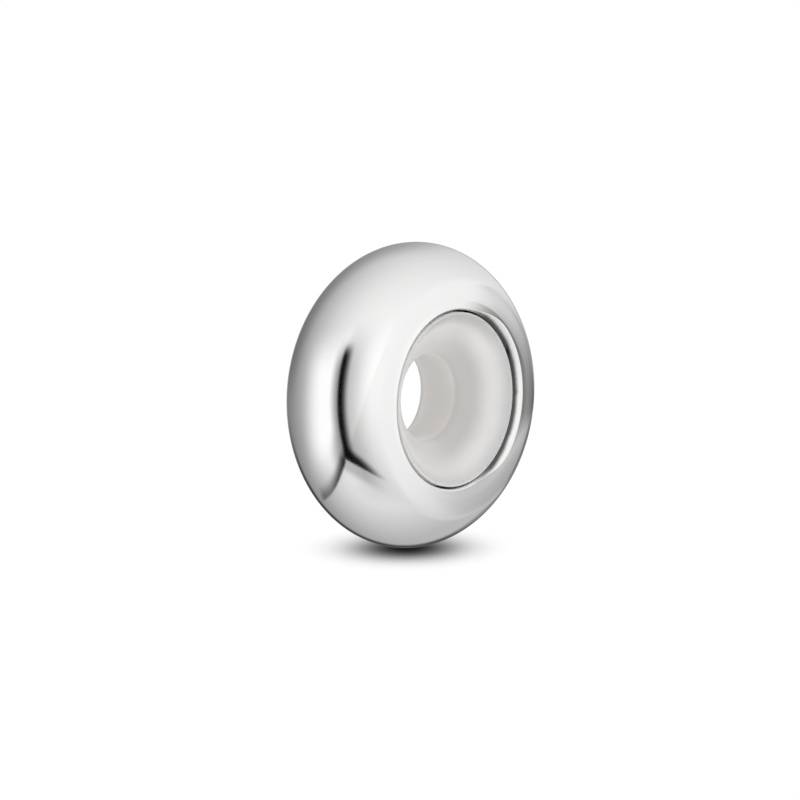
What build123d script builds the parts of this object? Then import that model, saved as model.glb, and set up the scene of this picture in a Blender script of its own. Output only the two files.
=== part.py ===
from build123d import *
from math import acos, cos, degrees, radians, sin
import os

# A round stopper bead for a charm bracelet: a solid polished metal ring with domed flanks, and a
# silicone grip insert that fills its hole and funnels down to a throat for the chain.
# Millimetres. The bead lies on its side: +Z is the axis of its hole, z = 0 is the plane it
# rests on, and the origin is on the axis. Both pieces are alike above and below mid-height.

# Metal ring
outer_diameter = 9.5
bead_width = 3.94  # over the crests of the two lips
flank_bulge = 3.0  # axial half-axis of the elliptic flank, whose radial one is the outer radius
bore_diameter = 5.56
lip_width = 0.25  # from the bore to the crest of the lip
lip_height = 0.187  # from the foot of the lip's inner bevel to the crest
lip_radius = 0.155  # of the rounded crest
bevel_slope = 40  # degrees at which the crest passes into the slightly domed inner bevel
face_slope = 4  # degrees by which the face falls away just outside the crest
shoulder_diameter = 7.39  # where face and flank meet before they are rounded
shoulder_rounding = 0.53

# Channel in the bore wall, which keeps the insert in the ring
channel_width = 1.5
channel_depth = 0.35

# Silicone insert
insert_width = 3.685
mouth_gap = 0.067  # between the insert's outer wall and the bore
rib_clearance = 0.02  # between the insert's rib and the channel
throat_diameter = 2.65
funnel_depth = 1.11  # from the mouth to the edge of the throat before it is rounded
throat_rounding = 0.5
rim_width = 0.05  # flat rim between funnel and outer wall
rim_edge_radius = 0.02

outer_radius = outer_diameter / 2
bore_radius = bore_diameter / 2
crest_radius = bore_radius + lip_width
crest_height = bead_width / 2
bevel_foot_height = crest_height - lip_height
insert_radius = bore_radius - mouth_gap
throat_radius = throat_diameter / 2
mouth_height = insert_width / 2
throat_height = mouth_height - funnel_depth
rib_width = channel_width - 2 * rib_clearance
rib_reach = mouth_gap + channel_depth - rib_clearance

# Sections are drawn in the half-plane through the axis: x is the distance from the axis,
# y the height above the middle of the bead.
section_plane = Plane(origin=(0, 0, bead_width / 2), x_dir=(1, 0, 0), z_dir=(0, -1, 0))

os.makedirs("parts", exist_ok=True)

# Ring: from the equator up the elliptic flank, in over the face, round the crest of the lip and
# down its bevel to the bore
with BuildPart() as bead_ring:
    with BuildSketch(section_plane) as ring_section:
        with BuildLine():
            flank_end = degrees(acos(shoulder_diameter / outer_diameter))
            flank = EllipticalCenterArc((0, 0), outer_radius, flank_bulge, arc_size=flank_end)
            lip_centre = (crest_radius, crest_height - lip_radius)
            lip = CenterArc(lip_centre, lip_radius, 90 - face_slope, face_slope + bevel_slope)
            slope = radians(face_slope)
            TangentArc(lip @ 0, flank @ 1, tangent=(cos(slope), -sin(slope)))
            bevel = TangentArc(lip @ 1, (bore_radius, bevel_foot_height), tangent=lip % 1)
            Line(bevel @ 1, (bore_radius, 0))
            mirror(about=Plane.XZ)
        make_face()
        # By distance from the axis the shoulder corners come last but for the equator
        shoulder_corners = ring_section.vertices().group_by(Axis.X)[-2]
        fillet(shoulder_corners, shoulder_rounding)
        with Locations((bore_radius, 0)):
            Rectangle(2 * channel_depth, channel_width, mode=Mode.SUBTRACT)
    revolve(axis=Axis.Z)
bead_ring.part.label = "bead_ring"
export_step(bead_ring.part, "parts/bead_ring.step")

# Insert: a straight outer wall in the bore, two funnels that meet in a rounded throat, and a rib
# that sits in the channel
with BuildPart() as grip_insert:
    with BuildSketch(section_plane) as insert_section:
        with BuildLine():
            Polyline(
                (throat_radius, throat_height),
                (insert_radius - rim_width, mouth_height),
                (insert_radius, mouth_height),
                (insert_radius, -mouth_height),
                (insert_radius - rim_width, -mouth_height),
                (throat_radius, -throat_height),
                close=True,
            )
        make_face()
        throat_corners = insert_section.vertices().group_by(Axis.X)[0]
        fillet(throat_corners, throat_rounding)
        rim_corners = insert_section.vertices().group_by(Axis.X)[-1]
        fillet(rim_corners, rim_edge_radius)
        with Locations((insert_radius, 0)):
            Rectangle(2 * rib_reach, rib_width)
    revolve(axis=Axis.Z)
grip_insert.part.label = "grip_insert"
export_step(grip_insert.part, "parts/grip_insert.step")
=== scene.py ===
from math import acos, atan2, cos, pi, radians, sin, tan, tau

import bpy
from mathutils import Matrix, Vector


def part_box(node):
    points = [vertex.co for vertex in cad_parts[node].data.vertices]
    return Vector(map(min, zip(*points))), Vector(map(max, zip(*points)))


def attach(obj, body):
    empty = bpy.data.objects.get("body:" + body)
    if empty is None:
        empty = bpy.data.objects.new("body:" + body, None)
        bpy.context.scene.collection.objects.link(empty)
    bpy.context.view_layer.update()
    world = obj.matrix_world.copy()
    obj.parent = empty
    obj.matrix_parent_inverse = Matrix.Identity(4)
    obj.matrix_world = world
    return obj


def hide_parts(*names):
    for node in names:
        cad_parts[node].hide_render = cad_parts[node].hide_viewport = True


# A polished silver stopper bead with a silicone grip insert, lying on a plain white floor in a
# soft studio. Metres. The bead's axis is +Z, and z = 0 is the floor.

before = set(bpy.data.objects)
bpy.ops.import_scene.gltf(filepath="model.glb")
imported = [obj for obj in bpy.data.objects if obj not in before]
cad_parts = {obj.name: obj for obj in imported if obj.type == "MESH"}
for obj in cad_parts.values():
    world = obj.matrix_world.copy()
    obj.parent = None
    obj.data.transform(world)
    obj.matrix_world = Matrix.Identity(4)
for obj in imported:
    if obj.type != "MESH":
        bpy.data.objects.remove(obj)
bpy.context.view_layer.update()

MM = 0.001

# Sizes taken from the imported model
ring_low, ring_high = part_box("bead_ring")
insert_low, insert_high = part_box("grip_insert")
outer_radius = ring_high.x
bead_width = ring_high.z - ring_low.z
insert_width = insert_high.z - insert_low.z
rib_radius = insert_high.x
bead_centre = Vector((0, 0, bead_width / 2))

# Sizes of the two sections that the nodes' boxes don't give
flank_bulge = 3.0 * MM
bore_radius = 2.78 * MM
lip_width = 0.25 * MM
lip_height = 0.187 * MM
lip_radius = 0.155 * MM
bevel_slope = radians(40)
face_slope = radians(4)
shoulder_radius = 3.695 * MM
shoulder_rounding = 0.53 * MM
channel_width = 1.5 * MM
channel_depth = 0.35 * MM
mouth_gap = 0.067 * MM
rib_clearance = 0.02 * MM
throat_radius = 1.325 * MM
funnel_depth = 1.11 * MM
throat_rounding = 0.5 * MM
rim_width = 0.05 * MM
rim_edge_radius = 0.02 * MM
crest_radius = bore_radius + lip_width

# Steps of the meshes, around the axis and along the arcs of the sections
turn_steps = 360
flank_steps = 48
shoulder_steps = 24
face_steps = 12
lip_steps = 32
bevel_steps = 12
rim_edge_steps = 6
throat_steps = 24
sharp_edge = radians(30)  # the shading stays smooth over edges that turn less than this

# The camera looks at the bead from about 50 degrees off its axis, through a long lens. In the
# picture the axis points to the right and a little down.
camera_elevation = radians(40.23)
camera_roll = radians(6.0)
camera_lens = 1000.0
sensor_width = 36.0

# The picture in pixels: its side, and where and how large the bead is in it
picture_side = 800
bead_across = 410.75
bead_down = 394.85
bead_diameter = 306.8
pixel = 2 * outer_radius / bead_diameter

toward_camera = Vector((0, -cos(camera_elevation), sin(camera_elevation)))
seen_axis = Vector((0, sin(camera_elevation), cos(camera_elevation)))
picture_right = seen_axis * cos(camera_roll) - Vector((1, 0, 0)) * sin(camera_roll)
picture_down = seen_axis * sin(camera_roll) + Vector((1, 0, 0)) * cos(camera_roll)

# Colours and light. Where a brightness is meant as displayed, this power turns it into light.
display_gamma = 2.2
white = (1, 1, 1)
silver_colour = (0.94, 0.94, 0.935)
# Painted shade for the crevice between lip and insert
crevice_shade_colour = (0.06, 0.057, 0.054)
darker_silicone = (0.68, 0.665, 0.65)
lighter_silicone = (0.75, 0.74, 0.73)
soft_light = 1.08

# Sides of the bead, as directions out from its axis
crevice_shade_side = Vector((-0.208, 0.978, 0))  # side where the painted shade in the crevice between lip and insert is darkest
far_side = Vector((0, 1, 0))
top_side = Vector((-1, 0, 0))  # at the top of the picture

# The floor and its shades. The picture shows the close one, which has its size as seen there. The
# cast one is an ellipse behind the bead and beside it, hidden in the main view.
floor_radius = 0.4
shade_centre = Vector((4.75, 2.90, 0)) * MM
shade_length = 1.10 * MM
shade_width = 0.245 * MM
cast_centre = Vector((0, 2.33, 0)) * MM
cast_half_width = outer_radius
cast_half_length = 5.8 * MM


# Sections: lists of points (distance from the axis, height above mid-height)

def arc(centre, radial, axial, start, end, steps):
    """Points of an elliptical arc, both ends included."""
    angles = [start + (end - start) * step / steps for step in range(steps + 1)]
    return [(centre[0] + radial * cos(angle), centre[1] + axial * sin(angle)) for angle in angles]


def rounded(before, corner, after, radius, steps):
    """The arc that rounds the corner between two straight lines, both ends included."""
    corner = Vector(corner)
    back = (Vector(before) - corner).normalized()
    ahead = (Vector(after) - corner).normalized()
    half_angle = back.angle(ahead) / 2
    centre = corner + (back + ahead).normalized() * radius / sin(half_angle)
    start = corner + back * radius / tan(half_angle) - centre
    end = corner + ahead * radius / tan(half_angle) - centre
    first = atan2(start.y, start.x)
    turn = (atan2(end.y, end.x) - first + pi) % tau - pi
    return arc(centre, radius, radius, first, first + turn, steps)


def with_mirror_image(upper):
    """A closed section from its upper half, which starts and ends at mid-height."""
    return upper + [(distance, -height) for distance, height in reversed(upper) if height > 0]


def tangent_circle(start, heading, end):
    """Centre and radius of the circle through start and end that leaves start along heading."""
    left = Vector((-heading.y, heading.x))
    chord = end - start
    radius = chord.length_squared / (2 * chord.dot(left))
    return start + radius * left, abs(radius)


def shoulder_rounding_place(face_centre, face_radius, flank_end):
    """Centre of the arc that touches flank and face, with the flank's angle and normal there."""
    halvings = 50
    low, high = 0.0, flank_end
    for _ in range(halvings):
        angle = (low + high) / 2
        point = Vector((outer_radius * cos(angle), flank_bulge * sin(angle)))
        normal = Vector((cos(angle) / outer_radius, sin(angle) / flank_bulge)).normalized()
        centre = point - shoulder_rounding * normal
        if (centre - face_centre).length > face_radius - shoulder_rounding:
            high = angle
        else:
            low = angle
    return centre, angle, normal


def ring_section():
    """From the equator up the elliptic flank, in over the face, round the lip and down the bore."""
    crest_height = bead_width / 2
    lip_start, lip_end = pi / 2 - face_slope, pi / 2 + bevel_slope
    lip_centre = (crest_radius, crest_height - lip_radius)
    lip = arc(lip_centre, lip_radius, lip_radius, lip_start, lip_end, lip_steps)

    bevel_foot = Vector((bore_radius, crest_height - lip_height))
    inward = Vector((-cos(bevel_slope), -sin(bevel_slope)))
    bevel_centre, bevel_radius = tangent_circle(Vector(lip[-1]), inward, bevel_foot)
    bevel_end = atan2(bevel_foot.y - bevel_centre.y, bevel_foot.x - bevel_centre.x)
    bevel = arc(bevel_centre, bevel_radius, bevel_radius, lip_end, bevel_end, bevel_steps)

    flank_end = acos(shoulder_radius / outer_radius)
    corner = Vector((shoulder_radius, flank_bulge * sin(flank_end)))
    outward = Vector((cos(face_slope), -sin(face_slope)))
    face_centre, face_radius = tangent_circle(Vector(lip[0]), outward, corner)
    centre, flank_angle, flank_normal = shoulder_rounding_place(face_centre, face_radius, flank_end)
    face_normal = centre - face_centre
    flank_turn = atan2(flank_normal.y, flank_normal.x)
    face_turn = atan2(face_normal.y, face_normal.x)
    flank = arc((0, 0), outer_radius, flank_bulge, 0, flank_angle, flank_steps)
    shoulder = arc(
        centre, shoulder_rounding, shoulder_rounding, flank_turn, face_turn, shoulder_steps)
    face = arc(face_centre, face_radius, face_radius, face_turn, lip_start, face_steps)

    channel = [
        (bore_radius, channel_width / 2),
        (bore_radius + channel_depth, channel_width / 2),
        (bore_radius + channel_depth, 0),
    ]
    return with_mirror_image(flank + shoulder[1:] + face[1:] + lip[1:] + bevel[1:] + channel)


def insert_section():
    """From the rib up the outer wall, round the rim and down the funnel to the throat."""
    wall_radius = bore_radius - mouth_gap
    rib_height = channel_width / 2 - rib_clearance
    mouth_height = insert_width / 2
    rib = [(rib_radius, 0), (rib_radius, rib_height), (wall_radius, rib_height)]
    rim_outside = (wall_radius, mouth_height)
    rim_inside = (wall_radius - rim_width, mouth_height)
    throat_end = (throat_radius, mouth_height - funnel_depth)
    throat_middle = (throat_radius, 0)
    outer_edge = rounded(rib[-1], rim_outside, rim_inside, rim_edge_radius, rim_edge_steps)
    inner_edge = rounded(rim_outside, rim_inside, throat_end, rim_edge_radius, rim_edge_steps)
    throat = rounded(rim_inside, throat_end, throat_middle, throat_rounding, throat_steps)
    return with_mirror_image(rib + outer_edge + inner_edge + throat + [throat_middle])


def revolve(name, section):
    """A closed mesh: the section turned about the bead's axis."""
    count = len(section)
    vertices = []
    faces = []
    for step in range(turn_steps):
        angle = tau * step / turn_steps
        vertices += [
            (distance * cos(angle), distance * sin(angle), bead_centre.z + height)
            for distance, height in section
        ]
        here = step * count
        there = (step + 1) % turn_steps * count
        for point in range(count):
            following = (point + 1) % count
            faces.append((here + point, there + point, there + following, here + following))
    mesh = bpy.data.meshes.new(name)
    mesh.from_pydata(vertices, [], faces)
    mesh.shade_smooth()
    mesh.set_sharp_from_angle(angle=sharp_edge)
    piece = bpy.data.objects.new(name, mesh)
    bpy.context.scene.collection.objects.link(piece)
    return piece


# Shader nodes. A share is a number from 0 to 1 that says how far something applies.

class Graph:
    """Adds nodes to one emptied node tree. Each call gives back the new node's output."""

    def __init__(self, tree):
        tree.nodes.clear()
        self.tree = tree

    def add(self, kind, inputs=None, output=0, **settings):
        """A node with these settings. Its inputs are linked, or set to a plain value."""
        node = self.tree.nodes.new(kind)
        for name, value in settings.items():
            setattr(node, name, value)
        for key, value in (inputs or {}).items():
            if isinstance(value, bpy.types.NodeSocket):
                self.tree.links.new(value, node.inputs[key])
            else:
                node.inputs[key].default_value = value
        return node.outputs[output] if node.outputs else None

    def math(self, operation, *values):
        return self.add("ShaderNodeMath", dict(enumerate(values)), operation=operation)

    def vector_math(self, operation, *values, output=0):
        return self.add("ShaderNodeVectorMath", dict(enumerate(values)), output, operation=operation)

    def dot(self, first, second):
        return self.vector_math("DOT_PRODUCT", first, second, output="Value")

    def length(self, vector):
        return self.vector_math("LENGTH", vector, output="Value")

    def scaled(self, vector, factor):
        return self.add("ShaderNodeVectorMath", {0: vector, "Scale": factor}, operation="SCALE")

    def coordinate(self, vector, axis):
        return self.add("ShaderNodeSeparateXYZ", {0: vector}, output=axis)

    def product(self, first, *others):
        for other in others:
            first = self.math("MULTIPLY", first, other)
        return first

    def sum_of_squares(self, first, second):
        return self.math("MULTIPLY_ADD", first, first, self.product(second, second))

    def curve(self, value, constant, slope, bend):
        """constant + slope * value + bend * value squared"""
        inner = self.math("MULTIPLY_ADD", value, bend, slope)
        return self.math("MULTIPLY_ADD", inner, value, constant)

    def ramp(self, value, start, end):
        """Share that is 0 up to start and 1 from end, smooth in between. End may come first."""
        limits = {0: value, 1: start, 2: end}
        return self.add("ShaderNodeMapRange", limits, interpolation_type="SMOOTHSTEP")

    def band(self, value, start, full, fading, end):
        """Share that is 0 up to start, 1 from full to fading and 0 again from end."""
        return self.product(self.ramp(value, start, full), self.ramp(value, end, fading))

    def raised(self, value, amount, *shares):
        """The value and this amount more, where all the shares are 1."""
        return self.math("MULTIPLY_ADD", self.product(*shares), amount, value)

    def dimmed(self, brightness, depth, *shares):
        """The brightness less this depth of it, where all the shares are 1."""
        left = self.math("SUBTRACT", 1.0, self.product(*shares, depth))
        return self.product(brightness, left)

    # A Mix node has its own inputs and output for each kind: number, vector and colour

    def mix(self, share, first, second):
        return self.add("ShaderNodeMix", {0: share, 2: first, 3: second}, data_type="FLOAT")

    def mix_vectors(self, share, first, second):
        inputs = {0: share, 4: first, 5: second}
        return self.add("ShaderNodeMix", inputs, output=1, data_type="VECTOR")

    def mix_colours(self, share, first, second):
        inputs = {0: share, 6: (*first, 1), 7: (*second, 1)}
        return self.add("ShaderNodeMix", inputs, output=2, data_type="RGBA")

    def noise(self, vector, scale, detail=3.0, roughness=0.5):
        inputs = {"Vector": vector, "Scale": scale, "Detail": detail, "Roughness": roughness}
        return self.add("ShaderNodeTexNoise", inputs)


# Studio: what the polished silver mirrors, laid out as it would look in a mirror ball seen from
# the camera's side. Across runs from -1 at the left edge of the ball to 1 at the right, down
# from -1 at its top to 1 at its bottom. Brightness is as displayed, 0 black, 1 white.

wall_edge = 0.765  # across, where the right wall turns away


def tent(graph, across, down, radius):
    """White walls, brightest in front to the right, and a table that darkens to the back."""
    brightest_across = 0.3
    brightest = 0.96
    falloff = -0.22
    from_brightest = graph.math("SUBTRACT", across, brightest_across)
    squares = graph.sum_of_squares(from_brightest, down)
    walls = graph.raised(brightest, falloff, graph.math("POWER", squares, 1.5))

    low = graph.band(down, 0.0, 0.5, 0.55, 0.72)
    walls = graph.dimmed(walls, 0.09, low, graph.ramp(across, -0.2, 0.1))
    top_left = graph.product(graph.ramp(down, 0.1, -0.3), graph.ramp(across, 0.5, 0.0))
    walls = graph.dimmed(walls, 0.13, top_left, graph.ramp(radius, 0.84, 0.97))

    table = graph.curve(down, 1.29, -0.65, 0)
    table = graph.math("ADD", table, graph.curve(across, 0, 0.06, -0.48))
    table_back = graph.curve(across, 0.66, 0.15, -0.10)
    table = graph.math("SMOOTH_MAX", table, table_back, 0.03)
    return graph.math("SMOOTH_MIN", walls, table, 0.04)


def below_left_line(graph, across, down):
    """Distance below the curved line along the floor on the left."""
    lowest_across = -0.62
    lowest_down = 0.656
    bend = -1.245
    from_lowest = graph.math("SUBTRACT", across, lowest_across)
    line = graph.curve(from_lowest, lowest_down, 0, bend)
    slope = graph.math("MULTIPLY", from_lowest, 2 * bend)
    steepness = graph.math("SQRT", graph.curve(slope, 1.0, 0, 1.0))
    return graph.math("DIVIDE", graph.math("SUBTRACT", down, line), steepness)


def below_right_line(graph, across, down):
    """Distance below the straight line along the floor in the middle."""
    middle_down = 0.449
    slope = 0.223
    line = graph.curve(across, middle_down, slope, 0)
    return graph.math("SUBTRACT", down, line)


def left_panel(graph, brightness, across, down, over_left):
    """Puts in the bright light panel on the left, which ends at the left floor line."""
    panel_brightness = 0.995
    left_edge = graph.ramp(across, -0.82, -0.46)
    height = graph.band(down, -0.45, -0.10, 0.28, 0.62)
    panel = graph.product(left_edge, height, over_left)
    return graph.mix(panel, brightness, panel_brightness)


def upright_gap(graph, brightness, across, down, over_left, over_right):
    """Takes away light in the dark gap between the left panel and the front wall."""
    middle_across = -0.211
    middle_down = 0.02
    bend = 0.52
    from_middle = graph.math("SUBTRACT", down, middle_down)
    middle_line = graph.curve(from_middle, middle_across, 0, bend)
    aside = graph.math("SUBTRACT", across, middle_line)

    core = graph.band(aside, -0.055, -0.005, -0.01, 0.11)
    core_top = graph.ramp(down, -0.305, -0.195)
    brightness = graph.dimmed(brightness, 0.97, core, core_top, over_right)

    left_start = graph.raised(-0.17, -0.12, graph.ramp(down, 0.2, 0.42))
    left_shade = graph.band(aside, left_start, -0.02, -0.02, 0.02)
    left_top = graph.ramp(down, -0.36, -0.12)
    brightness = graph.dimmed(brightness, 0.45, left_shade, left_top, over_left)

    right_shade = graph.band(aside, -0.02, 0.02, 0.06, 0.36)
    right_top = graph.ramp(down, -0.45, -0.1)
    return graph.dimmed(brightness, 0.25, right_shade, right_top, over_right)


def left_floor_line(graph, brightness, across, below):
    """A dark line, soft above and sharp below, that is deeper toward the middle."""
    depth = graph.raised(0.40, 0.32, graph.ramp(across, -0.50, -0.28))
    line = graph.band(below, -0.09, 0.015, 0.005, 0.02)
    along_line = graph.band(across, -0.71, -0.62, -0.20, -0.16)
    return graph.dimmed(brightness, depth, line, along_line)


def right_floor_line(graph, brightness, across, below, over_right):
    """A wedge that thins out to the right, with a sharp lower edge and a shade below it."""
    thickness = graph.curve(across, 0.044, -0.15, -0.5)
    top = graph.math("SUBTRACT", -0.04, thickness)
    full = graph.math("SUBTRACT", 0.03, thickness)
    wedge = graph.product(graph.ramp(below, top, full), over_right)
    along_wedge = graph.band(across, -0.20, -0.16, -0.05, 0.30)
    brightness = graph.dimmed(brightness, 0.98, wedge, along_wedge)

    shade = graph.band(below, -0.005, 0.008, 0.045, 0.11)
    along_shade = graph.band(across, -0.30, -0.18, 0.0, 0.25)
    return graph.dimmed(brightness, 0.20, shade, along_shade)


def right_wall(graph, brightness, across, down):
    """Takes away light on the far right, where the wall turns away, and more low down there."""
    shifted = graph.raised(across, 0.045, graph.ramp(down, 0.10, 0.16))
    beyond_edge = graph.ramp(shifted, wall_edge, wall_edge + 0.045)
    height = graph.band(down, -0.65, -0.15, 0.15, 0.35)
    brightness = graph.dimmed(brightness, 0.12, beyond_edge, height)

    slanted = graph.math("MULTIPLY_ADD", down, 0.5, across)
    low = graph.band(down, 0.09, 0.16, 0.25, 0.55)
    low_depth = graph.raised(0.14, 0.07, graph.ramp(down, 0.42, 0.18))
    return graph.dimmed(brightness, low_depth, low, graph.ramp(slanted, 0.76, 0.96))


def right_slit(graph, brightness, across, down):
    """A dark wedge on the right wall, an upright slit in it and a lighter strip to its left."""
    wedge = graph.band(down, -0.05, 0.08, 0.09, 0.125)
    beyond_edge = graph.ramp(across, wall_edge, wall_edge + 0.035)
    brightness = graph.dimmed(brightness, 0.33, wedge, beyond_edge)

    slanted_part = graph.curve(down, 0.77, 0.9, 0)
    upright_part = 0.811
    middle = graph.math("MINIMUM", slanted_part, upright_part)
    beside = graph.math("ABSOLUTE", graph.math("SUBTRACT", across, middle))
    slit = graph.ramp(beside, 0.016, 0.004)
    slit_height = graph.band(down, 0.0, 0.02, 0.09, 0.10)
    slit_depth = graph.raised(0.15, 0.35, graph.ramp(down, 0.055, 0.03))
    brightness = graph.dimmed(brightness, slit_depth, slit, slit_height)

    # The strip's depth is negative, which makes it lighter
    strip = graph.band(across, 0.69, 0.73, wall_edge, wall_edge + 0.01)
    strip_height = graph.band(down, 0.0, 0.04, 0.10, 0.13)
    return graph.dimmed(brightness, -0.04, strip, strip_height)


def dark_rim(graph, brightness, across, down, radius):
    """Takes away light along the lower and right edge of the ball, where the background is dark."""
    rightness = graph.math("SUBTRACT", across, down)
    right_share = graph.ramp(rightness, 0.3, 0.85)
    middle = graph.raised(0.988, -0.098, right_share)
    middle = graph.raised(middle, 0.10, graph.ramp(rightness, 0.85, 1.25))
    from_middle = graph.math("SUBTRACT", radius, middle)
    start = graph.raised(-0.027, -0.055, right_share)
    lighter_edge = graph.ramp(from_middle, 0.01, 0.11)
    rim = graph.dimmed(graph.ramp(from_middle, start, 0.0), 0.85, lighter_edge)
    on_right = graph.ramp(across, 0.2, 0.6)
    rim_end = graph.raised(0.0, -0.5, on_right)
    rim_full = graph.raised(0.6, -0.6, on_right)
    depth = graph.raised(0.27, 0.33, graph.ramp(rightness, 0.1, -0.6))
    return graph.dimmed(brightness, depth, rim, graph.ramp(down, rim_end, rim_full))


def studio(graph, across, down):
    """Brightness of the whole studio at this place in the mirror ball."""
    radius = graph.math("SQRT", graph.sum_of_squares(across, down))
    below_left = below_left_line(graph, across, down)
    below_right = below_right_line(graph, across, down)
    over_left = graph.ramp(below_left, 0.01, -0.01)
    over_right = graph.ramp(below_right, 0.008, -0.008)
    brightness = tent(graph, across, down, radius)
    brightness = left_panel(graph, brightness, across, down, over_left)
    brightness = upright_gap(graph, brightness, across, down, over_left, over_right)
    brightness = left_floor_line(graph, brightness, across, below_left)
    brightness = right_floor_line(graph, brightness, across, below_right, over_right)
    brightness = right_wall(graph, brightness, across, down)
    brightness = right_slit(graph, brightness, across, down)
    return dark_rim(graph, brightness, across, down, radius)


def make_world():
    """The studio as the polish mirrors it, even light for all else and a white backdrop."""
    world = bpy.data.worlds.new("studio")
    bpy.context.scene.world = world
    world.use_nodes = True
    graph = Graph(world.node_tree)
    direction = graph.add("ShaderNodeTexCoord", output="Generated")

    # Where a mirror ball shows this direction to the camera, its surface faces halfway between them
    halfway = graph.vector_math("NORMALIZE", graph.vector_math("ADD", direction, toward_camera))
    across = graph.dot(halfway, picture_right)
    down = graph.dot(halfway, picture_down)
    brightness = studio(graph, across, down)

    # The whole edge of the ball mirrors what lies straight behind it, so the light is plain there
    straight_behind = graph.ramp(graph.dot(direction, toward_camera), -0.95, -0.995)
    plain = graph.raised(0.65, -0.27, graph.ramp(down, -0.2, 0.8))
    brightness = graph.mix(straight_behind, brightness, plain)

    def background(colour, strength):
        return graph.add("ShaderNodeBackground", {"Color": colour, "Strength": strength})

    # The studio makes up for what the silver's own colour takes away
    studio_light = background(graph.math("POWER", brightness, display_gamma), 1 / silver_colour[0])
    even_light = background((*white, 1), soft_light)
    backdrop = background((*white, 1), 1.0)
    is_glossy = graph.add("ShaderNodeLightPath", output="Is Glossy Ray")
    is_camera = graph.add("ShaderNodeLightPath", output="Is Camera Ray")
    light = graph.add("ShaderNodeMixShader", {0: is_glossy, 1: even_light, 2: studio_light})
    light = graph.add("ShaderNodeMixShader", {0: is_camera, 1: light, 2: backdrop})
    graph.add("ShaderNodeOutputWorld", {"Surface": light})


# Materials

def new_material(name):
    material = bpy.data.materials.new(name)
    material.use_nodes = True
    return material, Graph(material.node_tree)


def place_on_bead(graph):
    """The place, its distance from the axis and the direction out from the axis."""
    place = graph.add("ShaderNodeTexCoord", output="Object")
    flat = graph.vector_math("MULTIPLY", place, Vector((1, 1, 0)))
    return place, graph.length(flat), graph.vector_math("NORMALIZE", flat)


def worn_lip_normal(graph, outward, radius, side):
    """The surface normal, turned to that of the face where the lip is worn away from the bore."""
    normal = graph.add("ShaderNodeTexCoord", output="Normal")
    up_or_down = graph.math("SIGN", graph.coordinate(normal, "Z"))
    upright = graph.add("ShaderNodeCombineXYZ", {"Z": up_or_down})
    face_normal = graph.vector_math("ADD", upright, graph.scaled(outward, tan(face_slope)))
    whole_side = graph.ramp(side, 0.3, 0.92)
    worn_start = graph.raised(bore_radius, lip_width, whole_side)
    worn_full = graph.math("ADD", worn_start, 0.07 * MM)
    inside_crest = graph.ramp(radius, crest_radius + 0.03 * MM, crest_radius + 0.01 * MM)
    worn = graph.product(graph.ramp(radius, worn_start, worn_full), inside_crest)
    normal = graph.mix_vectors(worn, normal, face_normal)
    spaces = {"vector_type": "NORMAL", "convert_from": "OBJECT", "convert_to": "WORLD"}
    return graph.add("ShaderNodeVectorTransform", {0: normal}, **spaces)


def polished_silver():
    """Mirror polish with faint turning lines, a little unevenness and painted shade darkening the
    crevice toward the insert.
    """
    material, graph = new_material("polished_silver")
    place, radius, outward = place_on_bead(graph)
    side = graph.dot(outward, crevice_shade_side)

    height = graph.coordinate(place, "Z")
    section_place = graph.add("ShaderNodeCombineXYZ", {"X": radius, "Y": height})
    lines = graph.noise(section_place, 28.0 / MM, detail=4.0, roughness=0.7)
    roughness = graph.raised(0.03, 0.05, lines)
    roughness = graph.raised(roughness, 0.04, graph.noise(place, 1.6 / MM))
    relief = graph.add("ShaderNodeBump", {
        "Height": lines,
        "Strength": 0.02,
        "Distance": 0.002 * MM,
        "Normal": worn_lip_normal(graph, outward, radius, side),
    })

    # Painted shade: the crevice between lip and insert is darkened, most on one side of the bead
    on_side = graph.ramp(side, 0.2, 0.6)
    uneven_radius = graph.raised(radius, 0.04 * MM, graph.noise(place, 4.0 / MM))
    crevice_full = graph.raised(bore_radius + 0.03 * MM, 0.03 * MM, on_side)
    crevice_end = graph.raised(bore_radius + 0.08 * MM, 0.09 * MM, on_side)
    crevice = graph.ramp(uneven_radius, crevice_end, crevice_full)
    crevice_shade = graph.product(crevice, graph.raised(0.40, 0.55, on_side))

    shader = graph.add("ShaderNodeBsdfPrincipled", {
        "Base Color": graph.mix_colours(crevice_shade, silver_colour, crevice_shade_colour),
        "Metallic": 1.0,
        "Roughness": roughness,
        "Normal": relief,
    })
    graph.add("ShaderNodeOutputMaterial", {"Surface": shader})
    return material


def silicone_painted_light(graph, radius, outward):
    """Painted light and shade in the funnel, by the distance from the axis and the side of the bead.
    """
    up_funnel = graph.ramp(radius, 1.70 * MM, 2.25 * MM)
    inside_mouth = graph.ramp(radius, 2.65 * MM, 2.30 * MM)
    painted_light = graph.raised(0.83, 0.16, up_funnel, inside_mouth)

    toward_far = graph.dot(outward, far_side)
    painted_light = graph.raised(painted_light, 0.12, up_funnel, graph.ramp(toward_far, 0.0, 0.8))
    low_in_funnel = graph.ramp(radius, 2.15 * MM, 1.80 * MM)
    painted_light = graph.raised(painted_light, 0.09, low_in_funnel, graph.ramp(toward_far, 0.6, -0.2))

    toward_top = graph.dot(outward, top_side)
    near_mouth = graph.ramp(radius, 2.25 * MM, 2.50 * MM)
    painted_light = graph.raised(painted_light, -0.14, near_mouth, graph.ramp(toward_top, 0.6, 0.95))

    on_rim = graph.ramp(radius, 2.63 * MM, 2.68 * MM)
    painted_light = graph.raised(painted_light, 0.07, on_rim)
    in_throat = graph.ramp(radius, throat_radius + 0.045 * MM, throat_radius + 0.001 * MM)
    return graph.raised(painted_light, 0.19, in_throat)


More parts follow.
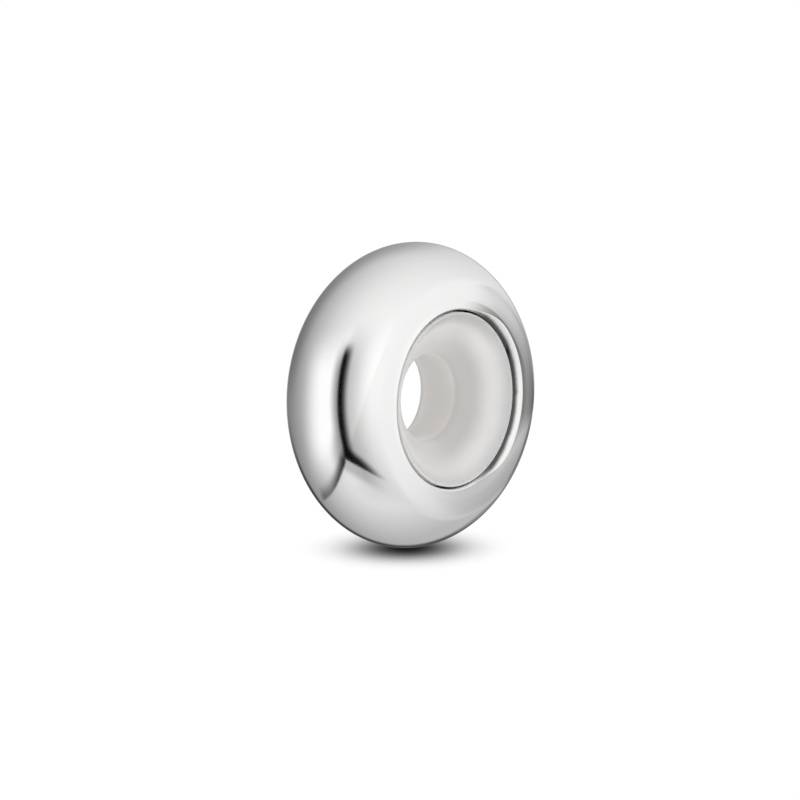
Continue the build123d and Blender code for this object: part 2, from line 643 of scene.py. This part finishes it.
def grip_silicone():
    """Milky translucent silicone, painted lightest in a band near the mouth and in the throat."""
    material, graph = new_material("grip_silicone")
    place, radius, outward = place_on_bead(graph)
    cloud = graph.noise(place, 0.9 / MM, detail=2.0)
    grain = graph.noise(place, 30.0 / MM, detail=2.0)
    colour = graph.mix_colours(cloud, darker_silicone, lighter_silicone)
    relief = graph.add("ShaderNodeBump", {"Height": grain, "Strength": 0.3, "Distance": 0.004 * MM})
    shader = graph.add("ShaderNodeBsdfPrincipled", {
        # The colour is scaled by painted light and shade in the funnel
        "Base Color": graph.scaled(colour, silicone_painted_light(graph, radius, outward)),
        "Roughness": graph.raised(0.40, 0.12, grain),
        "IOR": 1.41,
        "Subsurface Weight": 1.0,
        "Subsurface Radius": (1.0, 0.95, 0.9),
        "Subsurface Scale": 0.8 * MM,
        "Normal": relief,
    })
    graph.add("ShaderNodeOutputMaterial", {"Surface": shader})
    return material


def close_shade(graph, brightness, place):
    """A small soft spot beside the bead, drawn out along the picture's width."""
    from_shade = graph.vector_math("SUBTRACT", place, shade_centre)
    across = graph.dot(from_shade, picture_right / shade_length)
    down = graph.dot(from_shade, picture_down / shade_width)
    squares = graph.sum_of_squares(across, down)
    spot = graph.math("EXPONENT", graph.math("MULTIPLY", squares, -0.5))
    return graph.dimmed(brightness, 0.88, spot)


def cast_shade(graph, brightness, place, outside_hole):
    """A faint ellipse behind the bead, deeper and with a sharper edge beside it."""
    from_cast = graph.vector_math("SUBTRACT", place, cast_centre)
    half_axes = Vector((cast_half_width, cast_half_length, 1))
    distance = graph.length(graph.vector_math("DIVIDE", from_cast, half_axes))
    beside = graph.ramp(graph.coordinate(place, "X"), 1.0 * MM, 4.4 * MM)
    depth = graph.raised(0.35, 0.35, beside)
    full = graph.raised(0.60, 0.33, beside)
    return graph.dimmed(brightness, depth, outside_hole, graph.ramp(distance, 0.985, full))


def floor_material():
    """White floor that glows, but for the shades beneath, behind and close beside the bead."""
    material, graph = new_material("white_floor")
    place = graph.add("ShaderNodeTexCoord", output="Object")
    radius = graph.length(place)
    brightness = graph.raised(1.0, 0.02, graph.noise(place, 1.2 / MM))
    brightness = close_shade(graph, brightness, place)
    outside_hole = graph.ramp(radius, 2.85 * MM, 3.0 * MM)
    beneath = graph.ramp(radius, 3.6 * MM, 3.2 * MM)
    brightness = graph.dimmed(brightness, 0.75, outside_hole, beneath)
    brightness = cast_shade(graph, brightness, place, outside_hole)
    glow = graph.math("POWER", brightness, display_gamma)
    shader = graph.add("ShaderNodeEmission", {"Color": glow, "Strength": 1.0})
    graph.add("ShaderNodeOutputMaterial", {"Surface": shader})
    return material


# Bead, floor and camera

def make_piece(name, node, section, material):
    """A piece of the bead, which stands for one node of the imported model."""
    piece = revolve(name, section)
    piece.data.materials.append(material)
    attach(piece, "root")
    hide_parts(node)


def make_floor():
    """The floor that the camera sees. The polish mirrors the one painted in the studio instead."""
    bpy.ops.mesh.primitive_circle_add(
        vertices=64, radius=floor_radius, fill_type="NGON", location=(0, 0, 0))
    floor = bpy.context.object
    floor.name = "floor"
    floor.visible_glossy = False
    floor.data.materials.append(floor_material())


def make_camera():
    """Far enough away for the bead to have its size in the picture, and aimed to place it there."""
    lens = bpy.data.cameras.new("camera")
    lens.lens = camera_lens
    lens.sensor_width = sensor_width
    across = bead_across - picture_side / 2
    down = bead_down - picture_side / 2
    target = bead_centre - pixel * (across * picture_right + down * picture_down)
    distance = picture_side * pixel * camera_lens / sensor_width
    camera = bpy.data.objects.new("camera", lens)
    turned = Matrix((picture_right, -picture_down, toward_camera)).transposed().to_4x4()
    camera.matrix_world = Matrix.Translation(target + distance * toward_camera) @ turned
    bpy.context.scene.collection.objects.link(camera)
    bpy.context.scene.camera = camera


make_piece("silver_ring", "bead_ring", ring_section(), polished_silver())
make_piece("silicone_insert", "grip_insert", insert_section(), grip_silicone())
make_floor()
make_world()
make_camera()
bpy.context.scene.view_settings.view_transform = "Standard"
